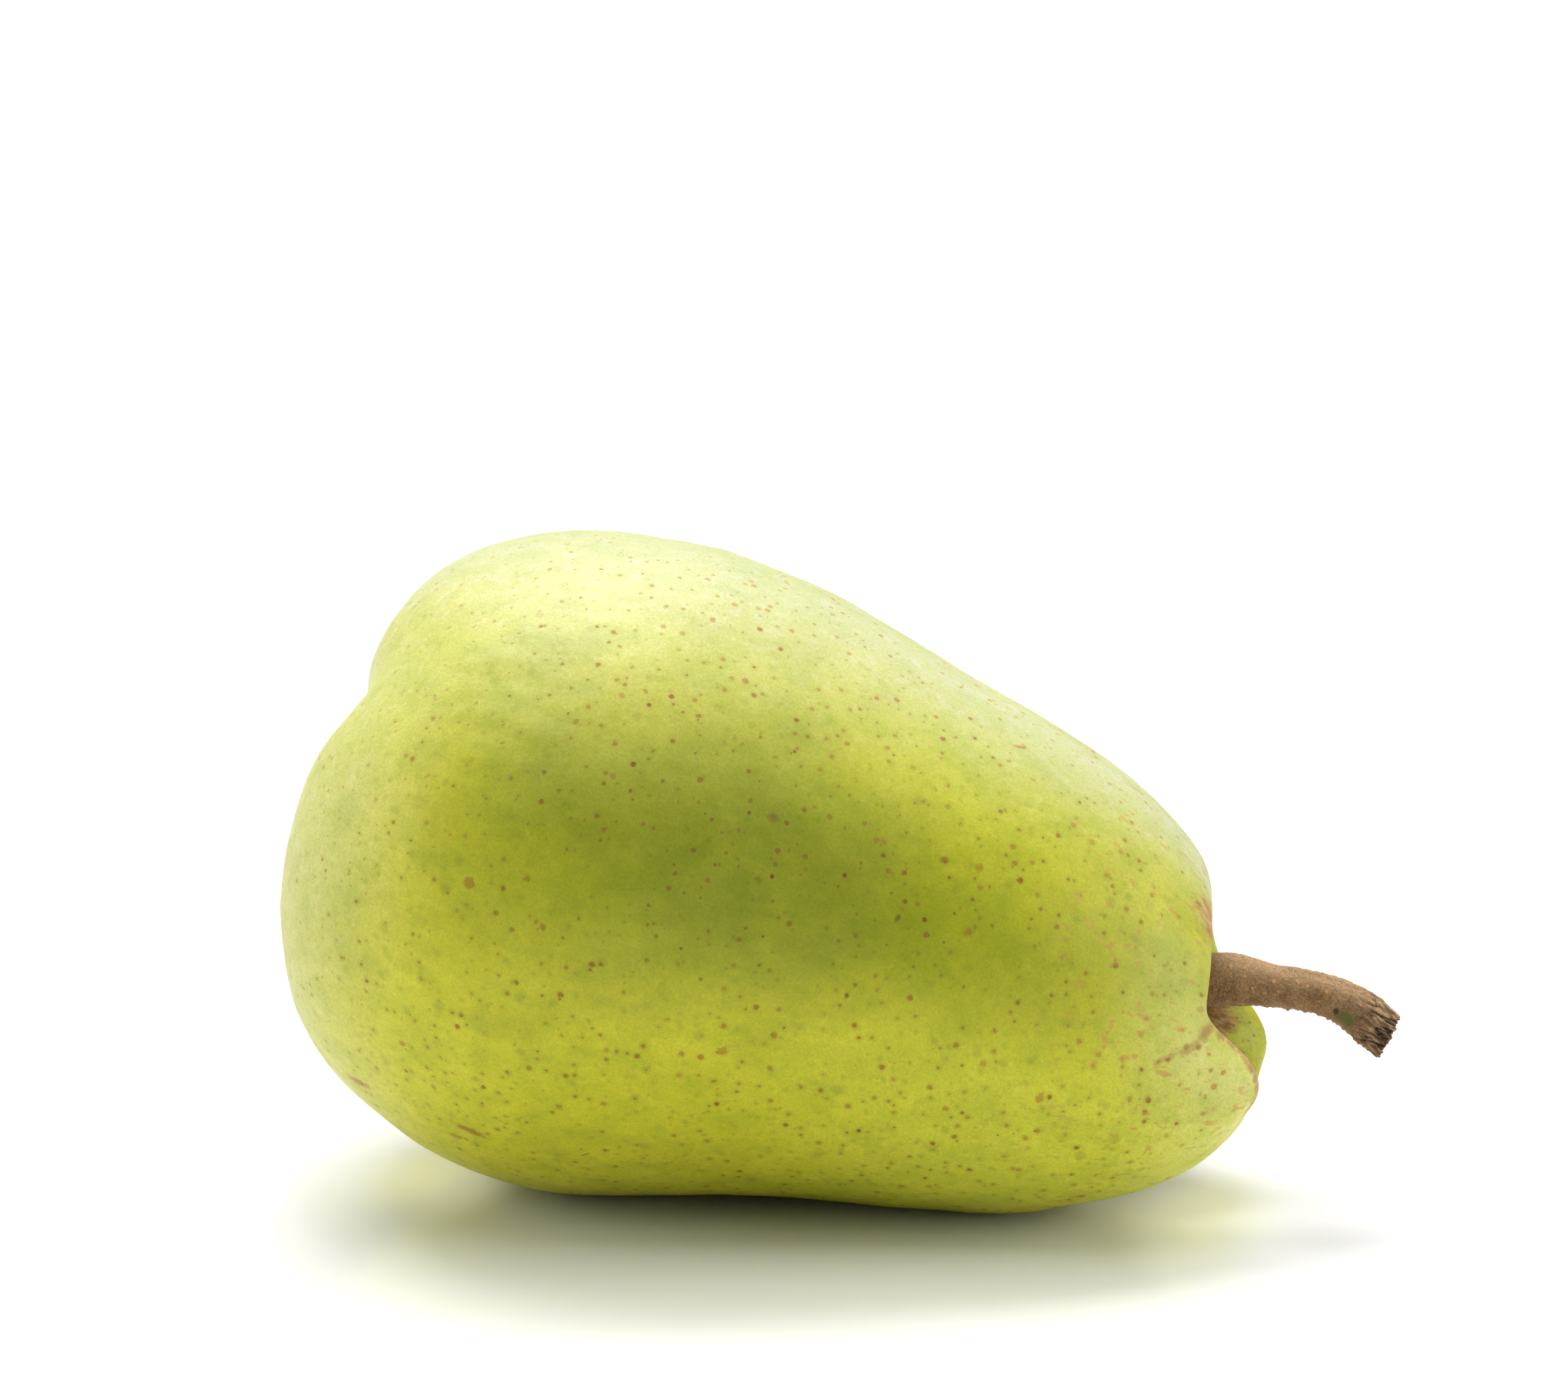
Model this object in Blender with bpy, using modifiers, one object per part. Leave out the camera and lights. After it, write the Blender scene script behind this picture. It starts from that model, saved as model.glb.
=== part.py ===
"""A fresh pear lying on its side: the fruit, its woody stem and the dried remains of its flower.

The fruit is turned upright about +Z with the stem end on top, swollen and folded by hand-placed
lobes, then laid down so that the stem points along +X and the belly and the neck rest on z = 0.
The origin is below the middle of the whole piece.
"""

import math

import bmesh
import bpy
from mathutils import Matrix, Vector

MM = 0.001

# Turned outline of the fruit, from the stem cavity over the neck and belly to the calyx basin:
# (radius, height above the blossom end) in millimetres.
OUTLINE = (
    (0.0, 80.0), (1.8, 80.2), (3.6, 81.6), (5.4, 84.0), (7.6, 86.4), (10.4, 86.8),
    (14.0, 85.2), (17.4, 82.0), (20.3, 77.6), (22.9, 72.0), (24.7, 66.0), (26.5, 58.0),
    (28.8, 49.0), (31.2, 40.0), (32.9, 31.0), (32.7, 22.5), (30.8, 14.6), (27.6, 8.0),
    (23.0, 3.0), (17.0, 0.2), (12.0, 0.2), (8.6, 2.2), (5.6, 4.8), (3.6, 6.4),
    (2.3, 7.4), (1.2, 9.0), (0.0, 9.4),
)
OUTLINE_STEPS = 2           # spline points for each stretch of the outline
TURN_STEPS = 72             # facets round the fruit

# The spine of the fruit, (height, lift towards the upper flank) in millimetres.
SPINE = ((0.0, -0.4), (22.0, -0.9), (46.0, 0.0), (60.0, -0.8), (71.0, -1.2), (84.0, -0.4), (95.0, 0.0))
CAVITY_LIFT = 2.6           # the stem cavity sits above the middle of the neck end
CAVITY_REACH = (6.0, 19.0)  # radii between which that lift fades out

# Swellings of the two ends along the axis: (direction, height, half-spread) in degrees, mm, degrees.
# Directions turn from the near flank (0) over the upper flank (90) and the far flank (180) to the
# resting side (270).
STEM_LOBES = ((214.0, 8.1, 31.0), (338.0, 6.5, 17.0), (312.0, 6.5, 20.0), (282.0, 4.3, 21.0),
              (245.0, 4.2, 17.0), (15.0, 1.3, 35.0), (110.0, -1.6, 50.0))
STEM_FOLD = (270.0, 2.6, 9.0)
CALYX_LOBES = ((80.0, -0.5, 45.0), (340.0, 1.5, 50.0))
CALYX_FOLD = (48.0, 2.0, 16.0)

# Where the swellings act, millimetres.
STEM_END = (62.0, 88.0)     # heights between which the stem-end swellings grow
CALYX_END = (4.0, 42.0)     # heights between which the blossom-end swellings fade out
RIM_REACH = (2.0, 12.0)     # radii between which both grow
FOLD_REACH = (9.0, 21.0)    # radii between which the fold beside the stem fades out

WAIST = 50.0                # height that parts the belly from the neck, millimetres
FLAT_DEPTH = 0.45           # how far the two resting spots are pressed in, millimetres
FLOOR_SIZE = (200.0, 120.0, 20.0)
GAP = 0.3                   # clearance between neighbouring pieces, millimetres

# The stem: (lift from the axis towards the upper flank, sideways, height, radius) in millimetres.
STEM_PATH = (
    (2.1, 0.0, 77.6, 2.5), (2.4, 0.0, 82.0, 2.6), (2.8, 0.0, 86.0, 2.6), (3.5, 0.1, 90.0, 2.4),
    (4.2, 0.2, 94.0, 2.05), (4.5, 0.2, 97.6, 1.95), (4.3, 0.1, 100.6, 2.05), (3.4, 0.0, 103.2, 2.2),
    (2.2, 0.0, 105.5, 2.25), (0.9, 0.0, 107.6, 2.3),
)
STEM_SIDES = 3              # bevel resolution of the stem's round section
STEM_STEPS = 2              # spline points for each stretch of the path
SOCKET_POINTS = 3           # the socket follows this many points of the path
BREAK_AT = (1.9, 105.8)     # lift and height of the middle of the broken end, millimetres
BREAK_SLANT = 15.0          # lean of the break towards the resting side, degrees
BREAK_SIZE = (14.0, 14.0, 8.0)

# Dried sepals standing round the eye of the blossom end, millimetres and degrees.
SEPAL_RING = 2.9            # radius of the ring they stand on
SEPAL_FOOT = 6.5            # height of that ring above the blossom end
SEPAL_WIDTH = 2.4
SEPAL_THICKNESS = 0.45
SEPAL_ROWS = 7              # points along a sepal
SEPAL_CUP = 0.4             # how far its edges curl in, millimetres
FIRST_SEPAL = 20.0          # turning direction of the first one, degrees
SEPALS = ((5.4, 24.0, 62.0), (4.6, 14.0, 75.0), (5.0, 30.0, 50.0), (4.2, 8.0, 60.0),
          (5.2, 20.0, 78.0))        # length, lean at the foot, lean at the tip

# Dried stamens in the eye, millimetres.
PAD_RADIUS = 1.15
PAD_TOP = 8.65              # height of the pad's inner end above the blossom end
PAD_DEPTH = 0.7
THREAD_LENGTHS = (2.6, 1.9, 3.0, 2.2, 2.8, 1.7, 2.4, 2.0)
THREAD_INSET = 0.07         # how far a thread's foot stands in from its wedge of the pad
THREAD_SPREAD = 0.35        # outward lean of a thread as a share of its foot's distance from the middle
THREAD_TAPER = 0.5          # width of a thread's tip as a share of its foot


def smooth(value, low, high):
    """Ease from 0 at low to 1 at high."""
    t = min(max((value - low) / (high - low), 0.0), 1.0)
    return t * t * (3.0 - 2.0 * t)


def bell(angle, centre, spread):
    """Bell curve round the turning direction, all in degrees."""
    away = (angle - centre + 180.0) % 360.0 - 180.0
    return math.exp(-((away / spread) ** 2))


def spline(points, steps):
    """Catmull-Rom points through a row of points."""
    row = [Vector(p) for p in points]
    row = [row[0] * 2.0 - row[1]] + row + [row[-1] * 2.0 - row[-2]]
    out = []
    for a, b, c, d in zip(row, row[1:], row[2:], row[3:]):
        for k in range(steps):
            t = k / steps
            straight = 2.0 * b + (c - a) * t
            bent = (2.0 * a - 5.0 * b + 4.0 * c - d) * t ** 2 + (3.0 * (b - c) + d - a) * t ** 3
            out.append(0.5 * (straight + bent))
    out.append(row[-2])
    return out


def level(curve, height):
    """Value at a height of a curve of (height, value) points."""
    if height <= curve[0].x:
        return curve[0].y
    for low, high in zip(curve, curve[1:]):
        if height <= high.x:
            return low.y + (high.y - low.y) * (height - low.x) / (high.x - low.x)
    return curve[-1].y


SPINE_CURVE = spline(SPINE, 8)


def shape_point(point):
    """Move a point of the turned fruit (millimetres, upright) to its place on the real one."""
    radius = math.hypot(point.x, point.y)
    angle = math.degrees(math.atan2(-point.x, -point.y))
    end = smooth(point.z, *STEM_END)
    start = 1.0 - smooth(point.z, *CALYX_END)
    rim = smooth(radius, *RIM_REACH)
    reach = sum(h * bell(angle, c, s) for c, h, s in STEM_LOBES)
    fold = STEM_FOLD[1] * bell(angle, STEM_FOLD[0], STEM_FOLD[2])
    reach -= fold * (1.0 - smooth(radius, *FOLD_REACH))
    drop = sum(h * bell(angle, c, s) for c, h, s in CALYX_LOBES)
    drop -= CALYX_FOLD[1] * bell(angle, CALYX_FOLD[0], CALYX_FOLD[2])
    height = point.z + rim * (end * reach - start * drop)
    lift = level(SPINE_CURVE, point.z)
    lift += CAVITY_LIFT * end * (1.0 - smooth(radius, *CAVITY_REACH))
    return Vector((point.x - lift, point.y, height))


def new_collection(name):
    collection = bpy.data.collections.new(name)
    bpy.context.scene.collection.children.link(collection)
    return collection


def material(name, colour, roughness):
    made = bpy.data.materials.new(name)
    made.use_nodes = True
    shader = made.node_tree.nodes["Principled BSDF"]
    shader.inputs["Base Color"].default_value = (*colour, 1.0)
    shader.inputs["Roughness"].default_value = roughness
    shader.inputs["Metallic"].default_value = 0.0
    return made


def add_object(name, data, collection, parent=None):
    obj = bpy.data.objects.new(name, data)
    collection.objects.link(obj)
    obj.parent = parent
    return obj


def evaluated_mesh(obj):
    """Mesh of an object with its modifiers applied."""
    bpy.context.view_layer.update()
    graph = bpy.context.evaluated_depsgraph_get()
    return bpy.data.meshes.new_from_object(obj.evaluated_get(graph))


def weld(mesh, distance=0.00001):
    """Join coincident points and turn every face outwards."""
    bm = bmesh.new()
    bm.from_mesh(mesh)
    bmesh.ops.remove_doubles(bm, verts=bm.verts, dist=distance)
    bmesh.ops.recalc_face_normals(bm, faces=bm.faces)
    bm.to_mesh(mesh)
    bm.free()


def cut(obj, cutter):
    """Take a cutter out of an object."""
    cutter.hide_render = True
    cutter.display_type = "WIRE"
    boolean = obj.modifiers.new("cut_" + cutter.name, "BOOLEAN")
    boolean.operation = "DIFFERENCE"
    boolean.object = cutter


def fruit_mesh(collection):
    """The outline turned about the axis, then swollen and folded."""
    profile = bpy.data.meshes.new("outline")
    points = [Vector((max(p.x, 0.0), 0.0, p.y)) * MM for p in spline(OUTLINE, OUTLINE_STEPS)]
    profile.from_pydata(points, [(i, i + 1) for i in range(len(points) - 1)], [])
    obj = add_object("outline", profile, collection)
    screw = obj.modifiers.new("turn", "SCREW")
    screw.axis = "Z"
    screw.steps = TURN_STEPS
    screw.render_steps = TURN_STEPS
    screw.use_merge_vertices = True
    screw.merge_threshold = 0.00001
    mesh = evaluated_mesh(obj)
    bpy.data.objects.remove(obj)
    for vertex in mesh.vertices:
        vertex.co = shape_point(vertex.co / MM) * MM
    weld(mesh)
    mesh.shade_smooth()
    return mesh


def resting_tilt(mesh):
    """Nose-down tilt at which the belly and the neck touch the floor together."""
    tilt = 0.2
    for _ in range(20):
        low = {}
        for vertex in mesh.vertices:
            x, z = vertex.co.x, vertex.co.z
            along = z * math.cos(tilt) - x * math.sin(tilt)
            up = -x * math.cos(tilt) - z * math.sin(tilt)
            half = "neck" if z > WAIST * MM else "belly"
            if half not in low or up < low[half][1]:
                low[half] = (along, up)
        run = low["neck"][0] - low["belly"][0]
        tilt += math.atan2(low["neck"][1] - low["belly"][1], run)
    return tilt


def stem_mesh(collection, name, path, extra):
    """A tapered, bent rod through the path, its radius grown by extra millimetres."""
    curve = bpy.data.curves.new(name, "CURVE")
    curve.dimensions = "3D"
    curve.bevel_depth = 1.0 * MM
    curve.bevel_resolution = STEM_SIDES
    curve.use_fill_caps = True
    points = spline(path, STEM_STEPS)
    line = curve.splines.new("POLY")
    line.points.add(len(points) - 1)
    for point, (lift, side, height, radius) in zip(line.points, points):
        point.co = (-lift * MM, side * MM, height * MM, 1.0)
        point.radius = radius + extra
    obj = add_object(name, curve, collection)
    mesh = evaluated_mesh(obj)
    bpy.data.objects.remove(obj)
    weld(mesh)
    mesh.name = name
    mesh.shade_smooth()
    return mesh


def sepal_mesh(name, length, foot_lean, tip_lean):
    """A pointed, cupped leaf; it grows from the origin towards -Z, leaning out and curling back."""
    last = SEPAL_ROWS - 1
    step = length / last
    spine = [(0.0, 0.0)]
    for row in range(last):
        lean = math.radians(foot_lean + (tip_lean - foot_lean) * (row + 0.5) / last)
        out, down = spine[-1]
        spine.append((out + step * math.sin(lean), down + step * math.cos(lean)))
    bm = bmesh.new()
    bmesh.ops.create_grid(bm, x_segments=4, y_segments=last, size=0.5)
    for vertex in bm.verts:
        across = 2.0 * vertex.co.x
        t = vertex.co.y + 0.5
        out, down = spine[round(t * last)]
        half = 0.5 * SEPAL_WIDTH * (1.0 + 0.5 * t) * (1.0 - 0.92 * smooth(t, 0.1, 1.0))
        out -= SEPAL_CUP * across * across * (1.0 - t)
        vertex.co = Vector((across * half, out, -down)) * MM
    mesh = bpy.data.meshes.new(name)
    bm.to_mesh(mesh)
    bm.free()
    return mesh


def add_sepals(parts, lay, colour):
    """Five sepals evenly round the ring, each with its own lean and curl."""
    lift = level(SPINE_CURVE, SEPAL_FOOT)
    for index, (length, foot_lean, tip_lean) in enumerate(SEPALS):
        turn = math.radians(FIRST_SEPAL + index * 360.0 / len(SEPALS))
        name = f"sepal_{index + 1}"
        sepal = add_object(name, sepal_mesh(name, length, foot_lean, tip_lean), parts, lay)
        across = -SEPAL_RING * math.sin(turn) - lift
        sepal.location = Vector((across, SEPAL_RING * math.cos(turn), SEPAL_FOOT)) * MM
        sepal.rotation_euler = (0.0, 0.0, turn)
        solid = sepal.modifiers.new("thickness", "SOLIDIFY")
        solid.thickness = SEPAL_THICKNESS * MM
        solid.offset = 0.0
        sepal.data.materials.append(colour)


def add_stamens(parts, lay, colour):
    """The dried tuft in the eye: a round pad with its underside drawn out into threads."""
    bm = bmesh.new()
    bmesh.ops.create_cone(bm, cap_ends=True, segments=2 * len(THREAD_LENGTHS), depth=PAD_DEPTH * MM,
                          radius1=PAD_RADIUS * MM, radius2=PAD_RADIUS * MM)
    under = min(bm.faces, key=lambda face: face.calc_center_median().z)
    wedges = bmesh.ops.poke(bm, faces=[under])["faces"]
    wedges.sort(key=lambda face: math.atan2(face.calc_center_median().y, face.calc_center_median().x))
    threads = wedges[::2]
    bmesh.ops.inset_individual(bm, faces=threads, thickness=THREAD_INSET * MM)
    for face, length in zip(threads, THREAD_LENGTHS):
        out = face.calc_center_median()
        grown = bmesh.ops.extrude_discrete_faces(bm, faces=[face])["faces"][0]
        away = Vector((THREAD_SPREAD * out.x, THREAD_SPREAD * out.y, -length * MM))
        for vertex in grown.verts:
            vertex.co = out + away + THREAD_TAPER * (vertex.co - out)
    bmesh.ops.recalc_face_normals(bm, faces=bm.faces)
    mesh = bpy.data.meshes.new("stamens")
    bm.to_mesh(mesh)
    bm.free()
    tuft = add_object("stamens", mesh, parts, lay)
    height = PAD_TOP - 0.5 * PAD_DEPTH
    tuft.location = Vector((-level(SPINE_CURVE, height), 0.0, height)) * MM
    tuft.data.materials.append(colour)


def settle(parts, lay, body):
    """Lift the laid fruit onto z = 0 and centre the whole piece on the origin."""
    bpy.context.view_layer.update()
    graph = bpy.context.evaluated_depsgraph_get()
    corners = []
    for obj in parts.objects:
        if obj.type == "MESH":
            shown = obj.evaluated_get(graph)
            corners += [shown.matrix_world @ v.co for v in shown.data.vertices]
    floor = min((body.matrix_world @ v.co).z for v in body.data.vertices) + FLAT_DEPTH * MM
    middle_x = 0.5 * (min(c.x for c in corners) + max(c.x for c in corners))
    middle_y = 0.5 * (min(c.y for c in corners) + max(c.y for c in corners))
    lay.location -= Vector((middle_x, middle_y, floor))


def block(name, size, cutters, parent=None):
    """A block in millimetres that hangs below its own origin."""
    bm = bmesh.new()
    bmesh.ops.create_cube(bm, size=1.0)
    bmesh.ops.transform(bm, matrix=Matrix.Translation((0.0, 0.0, -0.5)), verts=bm.verts)
    bmesh.ops.scale(bm, vec=Vector(size) * MM, verts=bm.verts)
    mesh = bpy.data.meshes.new(name)
    bm.to_mesh(mesh)
    bm.free()
    return add_object(name, mesh, cutters, parent)


def add_stem(parts, cutters, lay, colour):
    """The stem, broken off at a slant."""
    stem = add_object("stem", stem_mesh(parts, "stem", STEM_PATH, 0.0), parts, lay)
    stem.data.materials.append(colour)
    lift, height = BREAK_AT
    broken_off = block("stem_break", BREAK_SIZE, cutters, lay)
    broken_off.location = Vector((-lift, 0.0, height)) * MM
    broken_off.rotation_euler = (0.0, math.radians(180.0 + BREAK_SLANT), 0.0)
    cut(stem, broken_off)


def build():
    for obj in list(bpy.data.objects):
        bpy.data.objects.remove(obj)
    parts = new_collection("pear")
    cutters = new_collection("cutters")
    skin = material("skin", (0.47, 0.52, 0.04), 0.38)
    bark = material("bark", (0.22, 0.13, 0.07), 0.8)
    dried = material("dried_flower", (0.1, 0.06, 0.035), 0.85)

    lay = add_object("pear_rest", None, parts)
    fruit = fruit_mesh(parts)
    lay.rotation_euler = (0.0, math.radians(90.0) + resting_tilt(fruit), 0.0)

    body = add_object("pear_body", fruit, parts, lay)
    body.data.materials.append(skin)
    add_stem(parts, cutters, lay, bark)
    add_sepals(parts, lay, dried)
    add_stamens(parts, lay, dried)

    socket = stem_mesh(parts, "stem_socket", STEM_PATH[:SOCKET_POINTS], GAP)
    cut(body, add_object("stem_socket", socket, cutters, lay))
    settle(parts, lay, body)
    cut(body, block("floor_block", FLOOR_SIZE, cutters))


build()
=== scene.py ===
"""The looks of a fresh pear that lies on its side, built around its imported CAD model.

The fruit is turned upright about +Z with its stem end on top, in millimetres, and then laid down onto
the frame. Directions round it turn from the near flank (0 degrees) over the upper flank (90) and the
far flank (180) to the resting side (270).
"""

import math

import bmesh
import bpy
import numpy as np
from mathutils import Matrix, Vector, noise


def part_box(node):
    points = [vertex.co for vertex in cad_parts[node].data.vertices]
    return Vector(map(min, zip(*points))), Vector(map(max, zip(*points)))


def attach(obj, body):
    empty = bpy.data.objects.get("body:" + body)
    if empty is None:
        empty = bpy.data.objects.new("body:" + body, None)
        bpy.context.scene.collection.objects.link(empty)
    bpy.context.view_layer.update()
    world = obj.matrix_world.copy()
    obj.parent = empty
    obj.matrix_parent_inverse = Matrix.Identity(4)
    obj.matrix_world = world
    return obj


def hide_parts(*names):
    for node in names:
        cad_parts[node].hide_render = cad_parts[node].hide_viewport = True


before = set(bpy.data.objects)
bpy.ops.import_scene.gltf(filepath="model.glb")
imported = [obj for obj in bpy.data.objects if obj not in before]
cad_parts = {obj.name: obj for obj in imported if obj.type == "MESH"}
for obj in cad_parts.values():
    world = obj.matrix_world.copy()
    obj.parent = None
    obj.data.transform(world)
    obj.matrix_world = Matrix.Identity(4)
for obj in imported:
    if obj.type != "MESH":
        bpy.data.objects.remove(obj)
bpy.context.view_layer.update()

MM = 0.001                  # a millimetre in metres

# ---------------------------------------------------------------- shape of the fruit, millimetres

# Turned outline from the stem cavity over the neck and belly to the calyx basin: (radius, height).
OUTLINE = (
    (0.0, 80.0), (1.8, 80.2), (3.6, 81.6), (5.4, 84.0), (7.6, 86.4), (10.4, 86.8),
    (14.0, 85.2), (17.4, 82.0), (20.3, 77.6), (22.9, 72.0), (24.7, 66.0), (26.5, 58.0),
    (28.8, 49.0), (31.2, 40.0), (32.9, 31.0), (32.7, 22.5), (30.8, 14.6), (27.6, 8.0),
    (23.0, 3.0), (17.0, 0.2), (12.0, 0.2), (8.6, 2.2), (5.6, 4.8), (3.6, 6.4),
    (2.3, 7.4), (1.2, 9.0), (0.0, 9.4),
)
FRUIT_ROWS = 280            # points of its mesh from end to end
FRUIT_COLUMNS = 340         # and round it

# Lift of the spine towards the upper flank, (height, lift), and of the stem cavity above it.
SPINE = ((0.0, -0.4), (22.0, -0.9), (46.0, 0.0), (60.0, -0.8), (71.0, -1.2), (84.0, -0.4), (95.0, 0.0))
CAVITY_LIFT = 2.6
CAVITY_REACH = (6.0, 19.0)  # radii between which the cavity's lift fades out

# Swellings of the two ends: (direction in degrees, height in millimetres, half-spread in degrees).
STEM_LOBES = ((214.0, 8.1, 31.0), (338.0, 6.5, 17.0), (312.0, 6.5, 20.0), (282.0, 4.3, 21.0),
              (245.0, 4.2, 17.0), (15.0, 1.3, 35.0), (110.0, -1.6, 50.0))
STEM_FOLD = (270.0, 2.6, 9.0)
CALYX_LOBES = ((80.0, -0.5, 45.0), (340.0, 1.5, 50.0))
CALYX_FOLD = (48.0, 2.0, 16.0)
STEM_END = (62.0, 88.0)     # heights between which the stem-end swellings grow
CALYX_END = (4.0, 42.0)     # heights between which the blossom-end swellings fade out
RIM_REACH = (2.0, 12.0)     # radii between which both grow
FOLD_REACH = (9.0, 21.0)    # radii between which the fold beside the stem fades out
WAIST = 50.0                # height that parts the belly from the neck
FLOOR_SOFTNESS = 0.08       # how gently the resting spots round into the flanks

# Relief of the skin, from broad waves to pores, and its wrinkles at the blossom end: (size, height).
RELIEF = ((17.0, 0.30), (5.5, 0.075), (2.2, 0.022))
WRINKLES = (2.6, 0.1)

# Layers of dots in the skin: (spacing, smallest radius, largest radius, softness of the edge).
DOTS = (1.2, 0.13, 0.32, 0.06)
SMALL_DOTS = (1.02, 0.07, 0.2, 0.05)
LARGE_DOTS = (5.2, 0.28, 0.6, 0.12)
HALO = 0.4                  # how far the green round a dot reaches
GREEN_SPOTS = (2.7, 0.35, 0.95)  # blurred ones under the skin: spacing, smallest and largest radius
# The dots are drawn out towards the stem inside this radius, by this share of the distance to it.
DOT_PULL_FROM = 18.0
DOT_PULL = 0.6

# Scars and streaks of russet: (direction in degrees, height, half-length, half-width in
# millimetres, turn away from the fruit's axis in degrees, strength).
MARKS = (
    (318.0, 24.0, 1.8, 0.6, -14.0, 1.0),
    (314.0, 22.5, 0.8, 0.5, 0.0, 0.8),
    (313.0, 12.0, 2.0, 0.8, 25.0, 0.9),
    (30.0, 45.5, 0.62, 0.5, 0.0, 0.7),
    (35.0, 61.5, 0.6, 0.4, 20.0, 0.8),
    (22.0, 65.3, 0.65, 0.55, 60.0, 0.7),
    (73.0, 65.0, 0.9, 0.35, 30.0, 0.75),
    (200.0, 40.0, 1.6, 0.5, 30.0, 0.7),
    (140.0, 28.0, 0.9, 0.6, 70.0, 0.7),
    (250.0, 24.0, 1.8, 0.5, 10.0, 0.7),
    # the streak that runs from the fold over the near lobe
    (359.8, 86.5, 1.9, 0.65, 0.0, 0.9),
    (358.3, 85.2, 2.0, 0.5, 4.0, 0.75),
    (357.8, 83.4, 1.7, 0.35, 10.0, 0.6),
)
# Dark scratches and bruised dots, in the same terms.
SCRATCHES = (
    (2.0, 56.0, 0.34, 0.26, 90.0, 0.8),
    (20.0, 58.8, 0.5, 0.3, 70.0, 0.6),
    (317.0, 34.8, 0.75, 0.12, 38.0, 0.75),
    (4.0, 40.5, 0.22, 0.18, 0.0, 0.8),
    (170.0, 55.0, 0.9, 0.12, 60.0, 0.7),
    (336.0, 70.3, 0.14, 0.13, 0.0, 0.9),
    (337.0, 71.3, 0.13, 0.12, 0.0, 0.9),
    (338.2, 72.6, 0.13, 0.12, 0.0, 0.9),
)
MARK_DEPTH = 2.0            # how far above and below the skin a mark's ellipsoid reaches
MARK_EDGE = (1.2, 0.3)      # where a mark starts and is full, as shares of the way from its middle

# ---------------------------------------------------------------- stem, millimetres

# (lift towards the upper flank, sideways, height, radius)
STEM_PATH = (
    (2.1, 0.0, 77.6, 2.5), (2.4, 0.0, 82.0, 2.6), (2.8, 0.0, 86.0, 2.6), (3.5, 0.1, 90.0, 2.4),
    (4.2, 0.2, 94.0, 2.05), (4.5, 0.2, 97.6, 1.95), (4.3, 0.1, 100.6, 2.05), (3.4, 0.0, 103.2, 2.2),
    (2.2, 0.0, 105.5, 2.25), (0.9, 0.0, 107.6, 2.3),
)
STEM_LENGTH = 29.3          # along the path, to the middle of the broken end
STEM_ROWS = 300             # points of its mesh from end to end
STEM_COLUMNS = 168          # and round it
STEM_RADIUS = 2.2           # of the round on which its bark's noise is laid out
BREAK_SLANT = 17.0          # how far the break leans from square, in degrees
BREAK_SHORT = 0.5           # how far its rim stays short of the stem's length
BREAK_RAGGED = 0.3          # how far splinters stand out from that rim
BREAK_ROWS = 22             # steps from the break's rim to its middle
BREAK_SUNK = 0.3            # how far its middle is hollowed
# Lenticels of the bark: (distance along the path, direction from the top in degrees, radius).
LENTICELS = (
    (12.2, 42.0, 0.2), (16.4, 66.0, 0.17), (16.9, 92.0, 0.15), (18.6, 58.0, 0.12), (19.6, 63.0, 0.15),
    (21.4, 66.0, 0.2), (14.4, 88.0, 0.14), (24.6, 60.0, 0.13), (13.6, 62.0, 0.12), (25.8, 118.0, 0.14),
    (18.2, 205.0, 0.18), (22.0, 250.0, 0.17), (14.0, 300.0, 0.2), (20.4, 320.0, 0.15),
)

# ---------------------------------------------------------------- dried flower, millimetres

SEPAL_RING = 2.9            # radius of the ring in which the sepals stand
SEPAL_FOOT = 6.5            # height of their feet
SEPAL_WIDTH = 2.4
SEPAL_THICKNESS = 0.3
FIRST_SEPAL = 20.0          # turn of the first, in degrees from the far flank
# (length, lean at the foot, lean at the tip) of each, in millimetres and degrees
SEPALS = ((5.4, 24.0, 62.0), (4.6, 14.0, 75.0), (5.0, 30.0, 50.0), (4.2, 8.0, 60.0), (5.2, 20.0, 78.0))
SEPAL_COLUMNS = 11
SEPAL_ROWS = 22
STAMENS = 18
STAMEN_RADII = (0.11, 0.1, 0.09, 0.085, 0.08, 0.08, 0.1, 0.19, 0.13)  # from foot to tip
STAMEN_STEP = 2.4           # turn from one stamen to the next, in radians
PAD_TOP = 8.65              # height at which the pad sits in the eye
# Rings of the pad that the stamens stand on: (radius, height from its top).
PAD_RINGS = ((0.6, 0.0), (1.0, -0.1), (1.12, -0.3), (1.05, -0.55), (0.75, -0.7), (0.35, -0.6))

# ---------------------------------------------------------------- camera, metres and degrees

CAMERA_AZIMUTH = 10.0       # from straight at the near flank towards the stem end
CAMERA_ELEVATION = 11.5
CAMERA_TARGET = (-0.0069, 0.0032, 0.0490)
CAMERA_DISTANCE = 0.43
LENS = 100.0
SENSOR = 36.0

# ---------------------------------------------------------------- floor and light

FLOOR_REACH = 6.0           # half its side
FLOOR_GLOW = (0.26, 0.8, 1.1)  # its own light: where it starts, where it is full, how strong
# Light that gets in under the raised ends of the fruit, as spots on the floor: (middle, reach).
END_GLOWS = (
    ((-0.043, -0.003, 0.0), (0.012, 0.023, 0.01)),
    ((0.0375, -0.001, 0.0), (0.012, 0.028, 0.01)),
)
END_GLOW = 0.38
END_GLOW_COLOUR = (1.0, 0.99, 0.58, 1.0)
FRUIT_MIDDLE = (0.0, 0.0, 0.03)  # where the softboxes point
TENT = (1.0, 0.05)          # brightness of the tent as the camera sees it, and as light
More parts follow.
